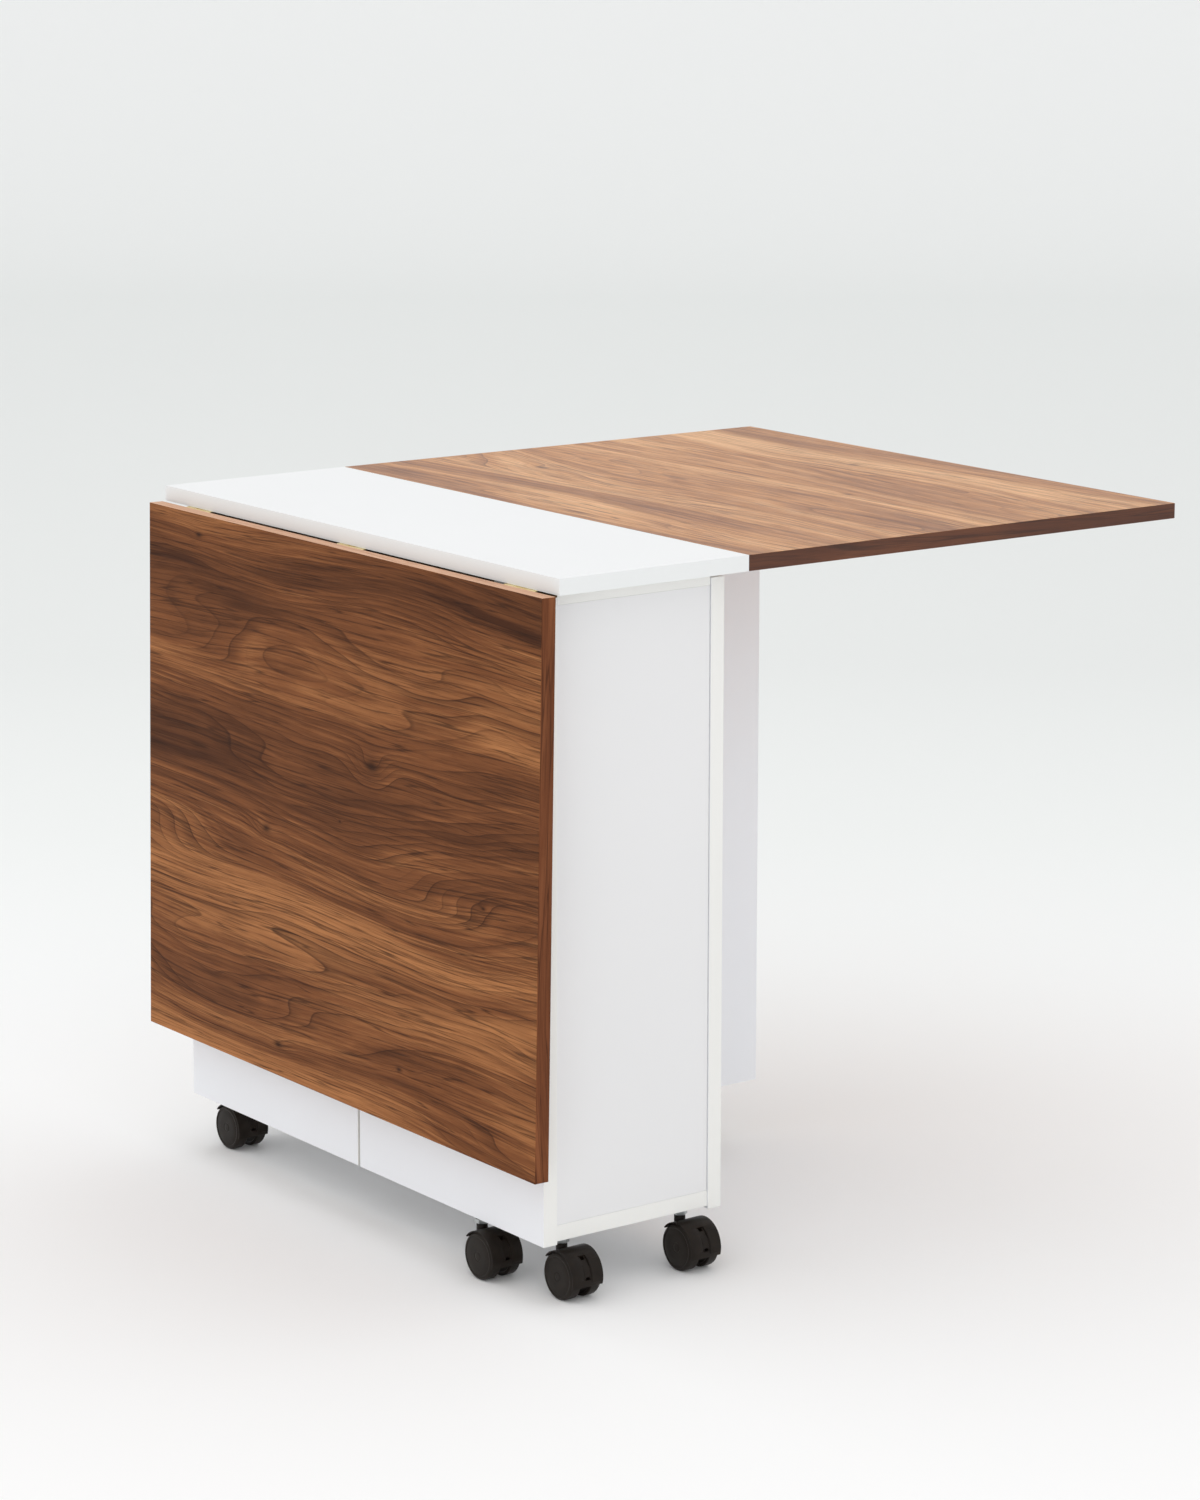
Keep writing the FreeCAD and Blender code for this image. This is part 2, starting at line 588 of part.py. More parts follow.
def caster(label, x, y):
    """Housing, wheels, axle and brake of one caster, trailing towards +X."""
    web = "(sizes.tread_span / 2 - sizes.wheel_width - sizes.web_gap)"
    axle_x = "sizes.trail"
    axle_z = "sizes.wheel_radius"
    hood = crosswise(f"{label}_hood_blank", "sizes.hood_radius", "sizes.tread_span / 2",
                     axle_x, axle_z)
    hood.setExpression("Angle", "sizes.hood_sweep * 1 deg")
    hood.Placement.Rotation = FreeCAD.Rotation(FreeCAD.Vector(1, 0, 0), 90).multiply(
        FreeCAD.Rotation(FreeCAD.Vector(0, 0, 1), number("sizes.hood_front")))
    well_half = "sizes.wheel_width / 2 + sizes.web_gap / 2"
    well_middle = f"({web} + {well_half})"
    wells = [crosswise(f"{label}_{name}_well", "sizes.hood_radius - sizes.hood_wall",
                       f"{well_half}", axle_x, axle_z, sign + well_middle)
             for name, sign in (("left", "-"), ("right", ""))]
    hooded = combine("Part::Cut", f"{label}_hood",
                     [hood, combine("Part::MultiFuse", f"{label}_wells", wells)])
    hub = crosswise(f"{label}_hub", "sizes.hub_radius", web, axle_x, axle_z)
    neck = cylinder(f"{label}_neck", "sizes.neck_radius", "sizes.neck_top - sizes.neck_bottom",
                    z="sizes.neck_bottom")
    body = combine("Part::MultiFuse", f"{label}_body", [hooded, hub, neck])
    stem_hole = cylinder(f"{label}_stem_hole", "sizes.stem_radius + sizes.running_gap",
                         "sizes.neck_top - sizes.stem_bottom + sizes.pin_end_gap",
                         z="sizes.stem_bottom - sizes.pin_end_gap")
    axle_hole = crosswise(f"{label}_axle_hole", "sizes.axle_radius + sizes.running_gap", web,
                          axle_x, axle_z)
    floor = "(sizes.hood_radius - sizes.brake_depth - sizes.brake_travel)"
    slot = sector(f"{label}_brake_slot", floor, "sizes.hood_radius + sizes.hood_wall",
                  "sizes.brake_start - sizes.brake_low_gap",
                  "sizes.brake_low_gap + sizes.brake_sweep + sizes.brake_high_gap",
                  "sizes.brake_width / 2 + sizes.brake_play")
    cuts = combine("Part::MultiFuse", f"{label}_cuts", [stem_hole, axle_hole, slot])
    housing = combine("Part::Cut", f"{label}_housing", [body, cuts])
    rocker = sector(f"{label}_brake", "sizes.hood_radius - sizes.brake_depth",
                    "sizes.hood_radius", "sizes.brake_start", "sizes.brake_sweep",
                    "sizes.brake_width / 2")
    wheels = []
    for name, sign in (("left", "-"), ("right", "")):
        middle = f"{sign}(sizes.tread_span / 2 - sizes.wheel_width / 2)"
        disc = crosswise(f"{label}_{name}_disc", "sizes.wheel_radius", "sizes.wheel_width / 2",
                         axle_x, axle_z, middle)
        seat = crosswise(f"{label}_{name}_axle_seat", "sizes.axle_radius",
                         "sizes.axle_seat / 2", axle_x, axle_z,
                         f"{sign}(sizes.tread_span / 2 - sizes.wheel_width + sizes.axle_seat / 2)")
        wheels.append(combine("Part::Cut", f"{label}_{name}_wheel", [disc, seat]))
    pair = combine("Part::Compound", f"{label}_wheels", wheels)
    rod = crosswise(f"{label}_rod", "sizes.axle_radius",
                    "sizes.tread_span / 2 - sizes.wheel_width + sizes.axle_seat", axle_x, axle_z)
    axle = combine("Part::Compound", f"{label}_axle", [rod])
    for part, name in ((housing, "housing"), (rocker, "brake"), (pair, "wheels"),
                       (axle, "axle")):
        on_table(part, x, y, "0")
        keep(part, f"{label}_{name}")


def sector(name, inner, outer, start, sweep, half_width):
    """Part of a ring about the wheel axle, seen from the side."""
    ring = []
    for edge, radius in (("inner", inner), ("outer", outer)):
        piece = crosswise(f"{name}_{edge}", radius, half_width, "sizes.trail",
                          "sizes.wheel_radius")
        piece.setExpression("Angle", f"({sweep}) * 1 deg")
        piece.Placement.Rotation = FreeCAD.Rotation(FreeCAD.Vector(1, 0, 0), 90).multiply(
            FreeCAD.Rotation(FreeCAD.Vector(0, 0, 1), number(start)))
        ring.append(piece)
    return combine("Part::Cut", name, [ring[1], ring[0]])


def casters():
    box_spots = caster_spots()
    stems_and_sockets("box", box_spots.values(), BOX_BOTTOM)
    for side in ("front", "rear"):
        stems_and_sockets(f"{side}_gate", [gate_caster_spot(side)], "sizes.door_bottom")
    spots = dict(box_spots)
    for side in ("front", "rear"):
        spots[f"{side}_gate"] = gate_caster_spot(side)
    for label, (x, y) in spots.items():
        caster(f"{label}_caster", x, y)


def write_parts():
    """Writes one file for each piece, once every object has been built without a fault."""
    doc.recompute()
    for thing in doc.Objects:
        if "Invalid" in thing.State or "Error" in thing.State:
            raise RuntimeError(f"{thing.Label} failed: {thing.State}")
    for node in nodes:
        if node.Shape.isNull() or not node.Shape.isValid() or not node.Shape.Solids:
            raise RuntimeError(f"{node.Label} has no sound solid")
    os.makedirs("parts", exist_ok=True)
    for node in nodes:
        node.Shape.exportStep(f"parts/{node.Label}.step")
        print(node.Label, len(node.Shape.Solids), round(node.Shape.Volume))


table_top()
box()
fixed_panels()
for side_name in ("front", "rear"):
    gate(side_name)
    leaf(side_name)
pivot_brackets()
hinges()
casters()
write_parts()
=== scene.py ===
import math
import bmesh
import bpy
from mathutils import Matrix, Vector
from mathutils.bvhtree import BVHTree


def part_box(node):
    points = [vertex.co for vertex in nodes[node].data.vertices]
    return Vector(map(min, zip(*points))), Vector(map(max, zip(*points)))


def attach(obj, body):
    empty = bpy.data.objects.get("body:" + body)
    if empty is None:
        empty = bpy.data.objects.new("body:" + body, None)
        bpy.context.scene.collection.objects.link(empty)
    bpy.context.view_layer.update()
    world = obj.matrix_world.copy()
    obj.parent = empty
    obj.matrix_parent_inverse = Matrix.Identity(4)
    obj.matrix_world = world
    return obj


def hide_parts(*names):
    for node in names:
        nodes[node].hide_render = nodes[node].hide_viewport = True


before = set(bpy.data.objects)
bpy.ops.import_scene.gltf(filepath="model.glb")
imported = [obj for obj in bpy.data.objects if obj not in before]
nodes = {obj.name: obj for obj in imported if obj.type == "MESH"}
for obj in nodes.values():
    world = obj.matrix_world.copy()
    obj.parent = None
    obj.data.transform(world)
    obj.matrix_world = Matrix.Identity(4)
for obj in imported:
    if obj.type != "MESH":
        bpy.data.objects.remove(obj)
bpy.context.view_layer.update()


# ---------------------------------------------------------------------------------------------
# Studio: a pale seamless paper that lies on the floor and curves up behind the table, lit by a
# broad soft lamp above, a weaker one from the right front and the even light of the room.

def material(name):
    """A new node material with its principled shader, and a helper that adds linked nodes."""
    made = bpy.data.materials.new(name)
    made.use_nodes = True
    tree = made.node_tree
    shader = tree.nodes["Principled BSDF"]

    def add(kind, inputs=(), **settings):
        node = tree.nodes.new(kind)
        for key, value in settings.items():
            setattr(node, key, value)
        for socket, value in dict(inputs).items():
            if isinstance(value, bpy.types.NodeSocket):
                tree.links.new(value, node.inputs[socket])
            else:
                node.inputs[socket].default_value = value
        return node

    def link(source, target):
        tree.links.new(source, target)

    return made, shader, add, link


def ramp(add, factor, stops):
    """A colour ramp through (position, colour) stops, read at a factor."""
    node = add("ShaderNodeValToRGB", {"Fac": factor})
    elements = node.color_ramp.elements
    while len(elements) < len(stops):
        elements.new(0.5)
    for element, (position, colour) in zip(elements, stops):
        element.position = position
        element.color = (*colour, 1)
    return node.outputs["Color"]


def shade(red, green, blue):
    """Linear colour of a paint-card value of 0 to 255."""
    linear = []
    for value in (red, green, blue):
        share = value / 255
        linear.append(share / 12.92 if share <= 0.04045 else ((share + 0.055) / 1.055) ** 2.4)
    return tuple(linear)


VIEW_TURN = math.radians(53.3)          # from the table's front round to the camera
PAPER = shade(240, 241, 241)
# The paper is brightest in front of the table. Its tone changes with the distance behind there,
# from PAPER_NEAR at a share of 0 to PAPER_FAR at 1, and in the same way towards the camera.
# These tones are painted light and shade: bright in front, darker behind the table and lighter
# again up the bend.
PAPER_NEAR, PAPER_FAR = -1.0, 12.0      # metres behind the middle of the table
PAPER_PAINTED_LIGHT_AND_SHADE = [(0.0, shade(248, 248, 248)), (0.11, shade(246, 246, 246)),
               (0.15, shade(243, 244, 244)), (0.21, shade(236, 238, 237)),
               (0.31, shade(229, 231, 230)), (0.77, shade(233, 235, 234)),
               (1.0, shade(243, 244, 244))]
PAPER_ROUGHNESS, PAPER_SHEEN = 0.9, 0.1
BEND_STEPS = 12


def backdrop():
    """A sheet from in front of the table to behind it, then up in a bend, square to the view."""
    half_width, front, rear, bend, height = 26.0, -30.0, 9.0, 3.0, 9.0
    rows = [(front, 0.0), (rear, 0.0)]
    for step in range(1, BEND_STEPS + 1):
        turn = math.radians(90 * step / BEND_STEPS)
        rows.append((rear + bend * math.sin(turn), bend * (1 - math.cos(turn))))
    rows.append((rear + bend, height))
    mesh = bpy.data.meshes.new("studio_floor")
    points = []
    for along, up in rows:
        for across in (-half_width, half_width):
            x = across * math.cos(VIEW_TURN) - along * math.sin(VIEW_TURN)
            y = across * math.sin(VIEW_TURN) + along * math.cos(VIEW_TURN)
            points.append((x, y, up))
    faces = [(2 * i, 2 * i + 1, 2 * i + 3, 2 * i + 2) for i in range(len(rows) - 1)]
    mesh.from_pydata(points, [], faces)
    mesh.polygons.foreach_set("use_smooth", [True] * len(faces))
    floor = bpy.data.objects.new("studio_floor", mesh)
    bpy.context.collection.objects.link(floor)
    made, shader, add, link = material("studio_paper")
    place = add("ShaderNodeTexCoord")
    depth = add("ShaderNodeVectorMath",
                {0: place.outputs["Object"],
                 1: (-math.sin(VIEW_TURN), math.cos(VIEW_TURN), 0)}, operation="DOT_PRODUCT")
    grain = add("ShaderNodeTexNoise", {"Scale": 3.0, "Detail": 4.0})
    patchy = add("ShaderNodeMath", {0: grain.outputs["Fac"], 1: 0.4, 2: depth.outputs["Value"]},
                 operation="MULTIPLY_ADD")
    share = add("ShaderNodeMapRange", {"Value": patchy.outputs[0], "From Min": PAPER_NEAR,
                                       "From Max": PAPER_FAR}, clamp=False)
    either_way = add("ShaderNodeMath", {0: share.outputs[0]}, operation="ABSOLUTE")
    link(ramp(add, either_way.outputs[0], PAPER_PAINTED_LIGHT_AND_SHADE), shader.inputs["Base Color"])
    shader.inputs["Roughness"].default_value = PAPER_ROUGHNESS
    shader.inputs["Specular IOR Level"].default_value = PAPER_SHEEN
    mesh.materials.append(made)


def lamp(name, size, power, place, aim):
    """A round soft lamp, its size and place in metres and its power in watts."""
    light = bpy.data.lights.new(name, "AREA")
    light.shape = "DISK"
    light.size = size
    light.energy = power
    holder = bpy.data.objects.new(name, light)
    holder.location = place
    holder.rotation_euler = (Vector(aim) - Vector(place)).to_track_quat("-Z", "Y").to_euler()
    bpy.context.collection.objects.link(holder)


ROOM_LIGHT = 0.99       # strength of the even light


def studio():
    """The paper, two lamps and the light of the room, which is the paper's own tone when seen."""
    backdrop()
    lamp("soft_lamp", size=7.0, power=33, place=(-1.4, -1.2, 4.6), aim=(0, 0, 0.3))
    lamp("fill_lamp", size=5.0, power=24, place=(4.6, -4.6, 1.7), aim=(0, 0, 0.4))
    world = bpy.data.worlds.new("studio_air")
    bpy.context.scene.world = world
    world.use_nodes = True
    tree = world.node_tree
    sky = tree.nodes["Background"]
    sky.inputs["Color"].default_value = (1.0, 1.0, 1.0, 1)
    sky.inputs["Strength"].default_value = ROOM_LIGHT
    backing = tree.nodes.new("ShaderNodeBackground")
    backing.inputs["Color"].default_value = (*PAPER, 1)
    rays = tree.nodes.new("ShaderNodeLightPath")
    either = tree.nodes.new("ShaderNodeMath")
    either.operation = "MAXIMUM"
    tree.links.new(rays.outputs["Is Camera Ray"], either.inputs[0])
    tree.links.new(rays.outputs["Is Glossy Ray"], either.inputs[1])
    mix = tree.nodes.new("ShaderNodeMixShader")
    tree.links.new(either.outputs[0], mix.inputs["Fac"])
    tree.links.new(sky.outputs[0], mix.inputs[1])
    tree.links.new(backing.outputs[0], mix.inputs[2])
    tree.links.new(mix.outputs[0], tree.nodes["World Output"].inputs["Surface"])
    bpy.context.scene.view_settings.view_transform = "Standard"


SENSOR = 36.0                           # millimetres, the height of the camera's sensor
PICTURE_HEIGHT = 1500                   # rows of the photograph
FOCAL_ROWS = 4383.1                     # focal length, as a number of those rows
AXIS_ROW = 553                          # row that the camera's axis meets
CAMERA_PLACE = (3.8206, -2.9246, 1.5144)
CAMERA_TURN = (80.319, -0.087, 53.300)  # degrees about X, Y and Z
SIGHT = 60                              # metres, beyond the far end of the paper


def photo_camera():
    """Seen from above the right front corner, as the photograph was taken."""
    camera = bpy.data.cameras.new("camera")
    camera.sensor_fit = "VERTICAL"
    camera.sensor_height = SENSOR
    camera.lens = FOCAL_ROWS * SENSOR / PICTURE_HEIGHT
    camera.shift_y = (AXIS_ROW - PICTURE_HEIGHT / 2) / PICTURE_HEIGHT
    camera.clip_end = SIGHT
    holder = bpy.data.objects.new("camera", camera)
    holder.location = CAMERA_PLACE
    holder.rotation_euler = [math.radians(angle) for angle in CAMERA_TURN]
    bpy.context.collection.objects.link(holder)
    bpy.context.scene.camera = holder


studio()
photo_camera()


# ---------------------------------------------------------------------------------------------
# Box: top, upper and lower boards, ends, divider, fixed panels and gates of chipboard with a
# white melamine face. The faces are cool white, and the cut edges carry a glued band of a warmer
# white with slightly broken corners. On some parts the white is set a little lighter or darker
# as painted light and shade. Only the long edges of the hidden upper board stay bare, and their
# dark brown is also painted shade for the gap under the top.

def dress(node, made):
    """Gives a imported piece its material."""
    mesh = nodes[node].data
    mesh.materials.clear()
    mesh.materials.append(made)
    mesh.polygons.foreach_set("material_index", [0] * len(mesh.polygons))


WELD_DISTANCE = 0.00001
SHARP_ANGLE = math.radians(50)          # an edge above this angle is a corner to round


def round_edges(piece, width, segments=2):
    """Rounds the sharp edges of a piece by a small radius."""
    bevel = piece.modifiers.new("rounded_edges", "BEVEL")
    bevel.width = width
    bevel.segments = segments
    bevel.limit_method = "ANGLE"
    bevel.angle_limit = SHARP_ANGLE


def break_corners(node, width, segments=2):
    """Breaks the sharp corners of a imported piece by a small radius."""
    weld = nodes[node].modifiers.new("weld", "WELD")
    weld.merge_threshold = WELD_DISTANCE
    round_edges(nodes[node], width, segments)


def blend(add, first, second, factor):
    """The first colour at a factor of 0, the second at 1."""
    mix = add("ShaderNodeMix", {0: factor, 6: first, 7: second}, data_type="RGBA")
    return mix.outputs[2]


FACING = 0.6            # a surface faces an axis where its normal's share of it is larger
FACE_CLOUDS, BAND_CLOUDS = 0.985, 0.98  # tone of the darker clouds, as a share of the lighter
CHIPS, PEBBLE = 420.0, 900.0            # how fine chips and pebble are, to a metre
WHITE_SHEEN = 0.3


def white_board(name, face, band, band_axes, bare_edge_shade_axis=None):
    """White melamine with a fine pebble, and a band on the edges that face the two band_axes.

    Edges that face bare_edge_shade_axis are left as bare chipboard, whose dark brown is also painted
    shade.
    """
    made, shader, add, link = material(name)
    place = add("ShaderNodeTexCoord")
    normal = add("ShaderNodeSeparateXYZ", {"Vector": place.outputs["Normal"]})

    def facing(axis):
        size = add("ShaderNodeMath", {0: normal.outputs[axis]}, operation="ABSOLUTE")
        return add("ShaderNodeMath", {0: size.outputs[0], 1: FACING},
                   operation="GREATER_THAN").outputs[0]

    first, second = band_axes
    edge = add("ShaderNodeMath", {0: facing(first), 1: facing(second)}, operation="MAXIMUM")
    cloud = add("ShaderNodeTexNoise", {"Vector": place.outputs["Object"], "Scale": 2.5,
                                       "Detail": 3.0})

    def clouded(tone, darker):
        return ramp(add, cloud.outputs["Fac"], [(0.35, tone), (0.65, [c * darker for c in tone])])

    coat = blend(add, clouded(face, FACE_CLOUDS), clouded(band, BAND_CLOUDS), edge.outputs[0])
    if bare_edge_shade_axis:
        # Dark brown chipboard: bare board in colour, and painted shade in the gap where it lies.
        chips = add("ShaderNodeTexVoronoi", {"Vector": place.outputs["Object"], "Scale": CHIPS})
        bare_board_and_shade = ramp(add, chips.outputs["Distance"], [(0.1, shade(150, 120, 86)),
                                                     (0.7, shade(112, 86, 60))])
        coat = blend(add, coat, bare_board_and_shade, facing(bare_edge_shade_axis))
    link(coat, shader.inputs["Base Color"])
    pebble = add("ShaderNodeTexNoise", {"Vector": place.outputs["Object"], "Scale": PEBBLE,
                                        "Detail": 2.0})
    rough = add("ShaderNodeMapRange", {"Value": pebble.outputs["Fac"], "To Min": 0.34,
                                       "To Max": 0.46})
    link(rough.outputs[0], shader.inputs["Roughness"])
    shader.inputs["Specular IOR Level"].default_value = WHITE_SHEEN
    bump = add("ShaderNodeBump", {"Height": pebble.outputs["Fac"], "Strength": 0.12,
                                  "Distance": 0.0002})
    link(bump.outputs[0], shader.inputs["Normal"])
    return made


FACE_WHITE = shade(236, 237, 239)
BAND_WHITE = shade(238, 238, 235)
BOARD_CORNER = 0.0005
TOP_CORNER = 0.0013


def box_boards():
    """Every board of the box and both gates, whose bands lie on the edges of each board, in copies
    of one white set lighter or darker as painted light and shade.
    """
    # One melamine in several copies: the faces of the top, the fixed panels, the front gate and the
    # open gate are painted lighter, those of the ends and the divider darker, and the top's band
    # darker, as painted light and shade.
    level = white_board("white_melamine_level", FACE_WHITE, BAND_WHITE, "XY")
    # The hidden upper board's long edges are dark brown, painted shade for the gap between the top
    # and the hanging leaf.
    hidden = white_board("white_melamine_hidden_painted_shade", FACE_WHITE, BAND_WHITE, "XX", "Y")
    top = white_board("white_melamine_top", shade(238, 239, 240), shade(234, 236, 236), "XY")
    panel_painted_light = white_board("white_melamine_panel", shade(237, 239, 243), BAND_WHITE, "XZ")
    end_painted_shade = white_board("white_melamine_end", shade(232, 232, 233), BAND_WHITE, "YZ")
    gate_painted_light = white_board("white_melamine_gate", shade(240, 242, 246), BAND_WHITE, "YZ")
    for node, made in (("table_top", top), ("top_board", hidden), ("bottom_board", level),
                       ("end_panel_left", end_painted_shade), ("end_panel_right", end_painted_shade),
                       ("centre_divider", end_painted_shade), ("fixed_panel_front", panel_painted_light),
                       ("fixed_panel_rear", panel_painted_light), ("front_gate", panel_painted_light),
                       ("rear_gate", gate_painted_light)):
        dress(node, made)
        break_corners(node, TOP_CORNER if made is top else BOARD_CORNER, 3)


box_boards()


# ---------------------------------------------------------------------------------------------
# Leaves: two boards with a printed walnut face on both sides and a glued walnut band round the
# edges, each hinged to a long side of the top. The figure runs along the table in long streaks,
# arches and a few knots, with fine dark pores. A block of walnut stops each gate under its leaf.
# The hanging leaf and the blocks take a darker copy of the walnut as painted shade, the raised
# leaf a lighter copy as painted light, and the hanging leaf's long edges a pale painted sheen.

# Dark, middle and light tone of each print, and the tone of its thin lines.
# WALNUT_SHADED and WALNUT_LIT are one walnut in two copies: the darker one paints shade on the
# hanging leaf and the stop blocks, the lighter one paints light and sheen on the raised leaf.
WALNUT_SHADED = [shade(70, 39, 22), shade(126, 77, 45), shade(175, 117, 72), shade(40, 22, 13)]
WALNUT_LIT = [shade(113, 58, 25), shade(199, 139, 86), shade(241, 187, 133), shade(84, 45, 23)]
WALNUT_BAND = [shade(84, 48, 31), shade(112, 66, 42), shade(138, 86, 56), shade(58, 32, 22)]
WALNUT_EDGE = [shade(62, 30, 15), shade(86, 45, 23), shade(110, 63, 36), shade(42, 20, 9)]
# A pale copy of the band, put on both long edges of the hanging leaf as a painted sheen.
WALNUT_BAND_PAINTED_SHEEN = [shade(196, 150, 120), shade(214, 170, 140), shade(228, 187, 158),
              shade(178, 132, 104)]
TONE_STOPS = (0.37, 0.495, 0.60)        # where the dark, middle and light tones lie
ROLLS, WAVES = 0.30, 0.018              # metres, how far long rolls and small waves bend the grain
BELL_BASE = 2.718                       # of the bell curve by which a knot lifts the grain
FIBRE_BEND = 0.28                       # share of the bend that the fibres follow
BANDS, PATCHES, STREAKS = 0.42, 0.34, 0.24      # shares of the tone
LINES_PER_METRE = 125.0                 # growth lines across a board with straight grain
LINE_WANDER = 0.9                       # how far a growth line strays, as a share of the spacing
ON_EDGES = 0.12                         # share of the growth lines' strength left on the bands


def walnut(name, across, seed, knots, prints, gloss):
    """Printed walnut: X runs along the grain, and "across" names the axes over and through it.

    Each knot is its place along and across the board, its reach and how far it lifts the grain.
    The three prints are those of the faces, of the long edges and of the ends. Their lighter and
    darker copies paint light and shade, and a pale copy of the band paints a sheen on long edges.
    """
    made, shader, add, link = material(name)
    place = add("ShaderNodeTexCoord")
    where = add("ShaderNodeSeparateXYZ", {0: place.outputs["Object"]})
    facing = add("ShaderNodeSeparateXYZ", {0: place.outputs["Normal"]})
    axis, through = across
    along_x, along_t, along_n = where.outputs["X"], where.outputs[axis], where.outputs[through]

    def calc(operation, first, second=0.0, third=0.0):
        node = add("ShaderNodeMath", {0: first, 1: second, 2: third}, operation=operation)
        return node.outputs[0]

    def choose(factor, first, second):
        return add("ShaderNodeMix", {0: factor, 2: first, 3: second}).outputs[0]

    def spread(value, low, high, out_low, out_high):
        return add("ShaderNodeMapRange", {"Value": value, "From Min": low, "From Max": high,
                                          "To Min": out_low, "To Max": out_high},
                   interpolation_type="SMOOTHSTEP").outputs[0]

    def vector(first, second):
        return add("ShaderNodeCombineXYZ", {"X": first, "Y": second, "Z": seed}).outputs[0]

    def noise(point, along, over, detail=2.0, rough=0.5):
        stretched = add("ShaderNodeVectorMath", {0: point, 1: (along, over, 1.0)},
                        operation="MULTIPLY")
        return add("ShaderNodeTexNoise", {"Vector": stretched.outputs[0], "Scale": 1.0,
                                          "Detail": detail, "Roughness": rough}).outputs["Fac"]

    def tint(first, second, factor):
        return blend(add, first, second, factor)

    # The print runs along X on both faces and the long edges, and along the band on the ends.
    on_end = calc("GREATER_THAN", calc("ABSOLUTE", facing.outputs["X"]), FACING)
    on_side = calc("GREATER_THAN", calc("ABSOLUTE", facing.outputs[axis]), FACING)
    along = choose(on_end, along_x, along_t)
    on_edge = calc("MAXIMUM", on_end, on_side)
    over = choose(on_edge, along_t, along_n)
    flat = vector(along, over)

    # The growth lines are level lines of a height that rises over the board. Long rolls, small
    # waves and the knots bend it, so that the lines close in arches and rings here and there.
    rolling = calc("SUBTRACT", noise(flat, 1.4, 8.0, detail=1.0, rough=0.35), 0.5)
    wavy = calc("SUBTRACT", noise(flat, 6.0, 22.0, detail=1.0), 0.5)
    bend = calc("MULTIPLY_ADD", wavy, WAVES, calc("MULTIPLY", rolling, ROLLS))
    dark_spot = 0.0
    for knot_along, knot_over, reach, lift in knots:
        off_along = calc("MULTIPLY", calc("SUBTRACT", along, knot_along), 0.5 / reach)
        off_over = calc("MULTIPLY", calc("SUBTRACT", over, knot_over), 1.0 / reach)
        far = calc("MULTIPLY_ADD", off_over, off_over, calc("MULTIPLY", off_along, off_along))
        near = calc("POWER", BELL_BASE, calc("MULTIPLY", far, -1.0))
        bend = calc("MULTIPLY_ADD", near, lift, bend)
        dark_spot = calc("MAXIMUM", dark_spot, calc("POWER", near, 8.0))
    height = calc("ADD", over, bend)
    figure = vector(along, height)
    fibre = vector(along, calc("MULTIPLY_ADD", bend, FIBRE_BEND, over))

    bands = noise(fibre, 0.7, 11.0)
    patches = noise(figure, 2.0, 26.0, detail=3.0, rough=0.55)
    streaks = noise(fibre, 4.5, 170.0, detail=4.0, rough=0.65)
    clouded = calc("MULTIPLY_ADD", patches, PATCHES, calc("MULTIPLY", streaks, STREAKS))
    tone = calc("MULTIPLY_ADD", bands, BANDS, clouded)

    def printed(pick):
        face, side, end = (pick(colours) for colours in prints)
        return tint(tint(face, side, on_side), end, on_end)

    def plain(index):
        return lambda colours: ramp(add, 0.0, [(0.0, colours[index]), (1.0, colours[index])])

    body = printed(lambda colours: ramp(add, tone, list(zip(TONE_STOPS, colours))))
    dark = printed(plain(0))
    thin = printed(plain(3))

    # The tone darkens towards each growth line and turns light again at once behind it.
    ring = calc("MULTIPLY_ADD", noise(flat, 4.0, 16.0, detail=1.0), LINE_WANDER,
                calc("MULTIPLY", height, LINES_PER_METRE))
    tooth = calc("FRACT", ring)
    behind = spread(tooth, 0.95, 1.0, 1.0, 0.0)
    weight = noise(vector(calc("MULTIPLY", along, 1.4), calc("FLOOR", ring)), 1.0, 3.7,
                   detail=1.0)
    present = calc("MULTIPLY", spread(weight, 0.36, 0.62, 0.08, 1.0),
                   spread(noise(figure, 1.1, 7.0), 0.38, 0.58, 0.25, 1.0))
    drawn = calc("MULTIPLY", calc("MULTIPLY", present, behind), choose(on_edge, 1.0, ON_EDGES))
    soft = calc("MULTIPLY", spread(tooth, 0.10, 0.97, 0.0, 0.46), drawn)
    crisp = calc("MULTIPLY", spread(tooth, 0.84, 0.96, 0.0, 0.52), drawn)
    lined = tint(tint(body, dark, soft), thin, crisp)

    # Then come thin veins, fine fibres, pores and the dark hearts of the knots.
    vein = calc("ABSOLUTE", calc("SUBTRACT", noise(fibre, 2.6, 120.0), 0.5))
    lined = tint(lined, thin, spread(vein, 0.0, 0.026, 0.62, 0.0))
    fine = noise(fibre, 8.0, 430.0, detail=3.0, rough=0.7)
    fibred = tint(lined, dark, spread(fine, 0.48, 0.68, 0.0, 0.6))
    pores = noise(flat, 30.0, 1300.0, rough=0.6)
    pored = tint(fibred, thin, spread(pores, 0.57, 0.72, 0.0, 0.4))
    knotted = tint(pored, thin, calc("MULTIPLY", dark_spot, 0.85))
    link(knotted, shader.inputs["Base Color"])
    link(spread(pores, 0.3, 0.7, 0.38, 0.5), shader.inputs["Roughness"])
    shader.inputs["Specular IOR Level"].default_value = gloss
    bump = add("ShaderNodeBump", {"Height": pores, "Strength": 0.2, "Distance": 0.0002})
    link(bump.outputs[0], shader.inputs["Normal"])
    return made


BLOCK_CORNER = 0.0008


